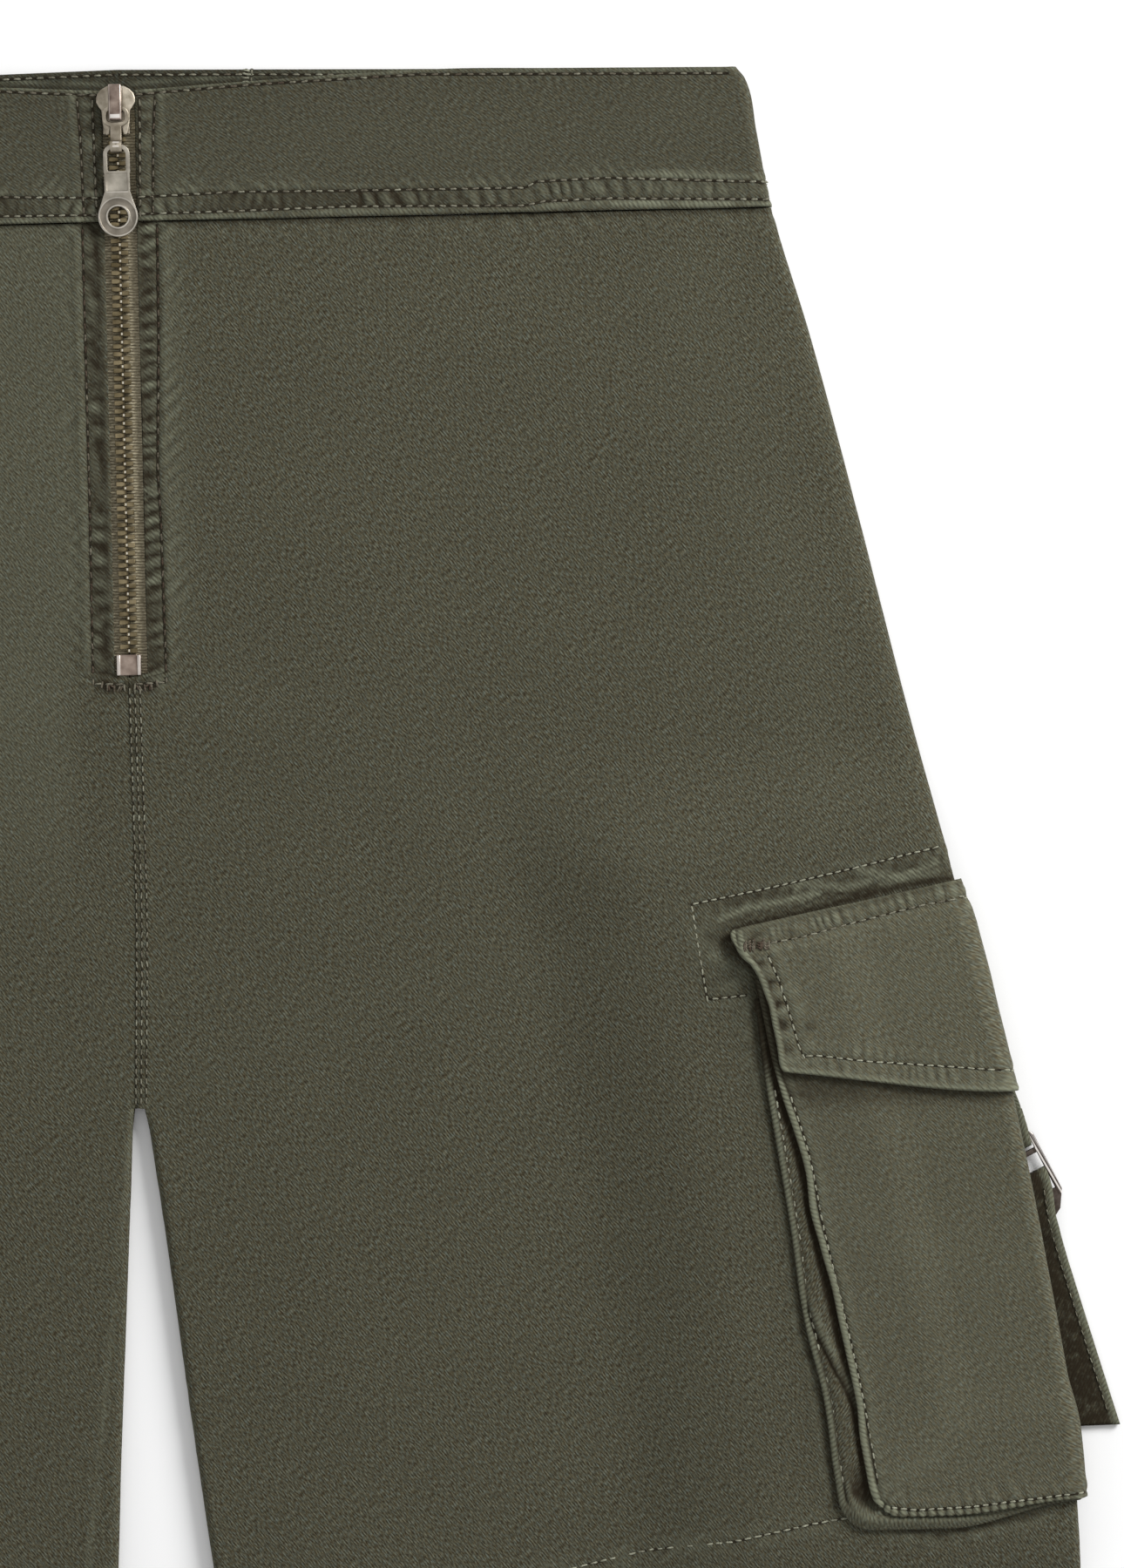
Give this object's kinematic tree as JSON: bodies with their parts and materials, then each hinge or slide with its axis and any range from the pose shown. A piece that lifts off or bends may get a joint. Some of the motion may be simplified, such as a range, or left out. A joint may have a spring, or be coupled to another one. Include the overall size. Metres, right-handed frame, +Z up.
{
  "type": "cargo shorts",
  "caption": "Olive cotton cargo shorts laid flat, with a waistband, front zip and flapped bellows side pockets with strap and buckle.",
  "frame": {"origin": "under the middle of the garment's box, on the surface that the garment lies on", "axes": "+X towards the wearer's left, +Y towards the waist, +Z up, out of the garment's front"},
  "size_m": [0.5592, 0.4858, 0.0152],
  "materials": {
    "twill": "dull garment-dyed cotton twill, worn pale on the seam ridges",
    "worn_twill": "the same twill, washed a little lighter",
    "zip_tape": "ribbed cotton tape, dyed beige-brown",
    "zip_teeth": "old brass, worn bright on the tips",
    "zip_hardware": "old nickel, satin, darkened in the hollows",
    "buckle_metal": "dark old nickel, satin"
  },
  "bodies": {
    "garment": {"front_panel_L": "twill", "front_panel_R": "twill", "back_panel_L": "twill", "back_panel_R": "twill", "waistband_front_L": "twill", "waistband_front_R": "twill", "waistband_back": "twill", "zip_tape_L": "zip_tape", "zip_tape_R": "zip_tape", "zip_chain": "zip_teeth", "zip_bottom_stop": "zip_hardware", "zip_slider": "zip_hardware", "pocket_gusset_L": "twill", "pocket_gusset_R": "twill", "pocket_face_L": "worn_twill", "pocket_face_R": "worn_twill", "pocket_flap_L": "worn_twill", "pocket_flap_R": "worn_twill", "pocket_strap_L": "twill", "pocket_strap_R": "twill", "flap_tab_L": "twill", "flap_tab_R": "twill", "strap_buckle_L": "buckle_metal", "strap_buckle_R": "buckle_metal"},
    "zip_link": {"zip_link": "zip_hardware"},
    "zip_pull": {"zip_pull": "zip_hardware"}
  },
  "joints": [
    {"name": "link_swing", "type": "hinge", "parent": "garment", "child": "zip_link", "pos_m": [0, 0.2309, 0.0084], "axis": [-1, 0, 0], "range_deg": [0, 135]},
    {"name": "pull_swing", "type": "hinge", "parent": "zip_link", "child": "zip_pull", "pos_m": [0, 0.21995, 0.0084], "axis": [-1, 0, 0], "range_deg": [0, 65]}
  ]
}
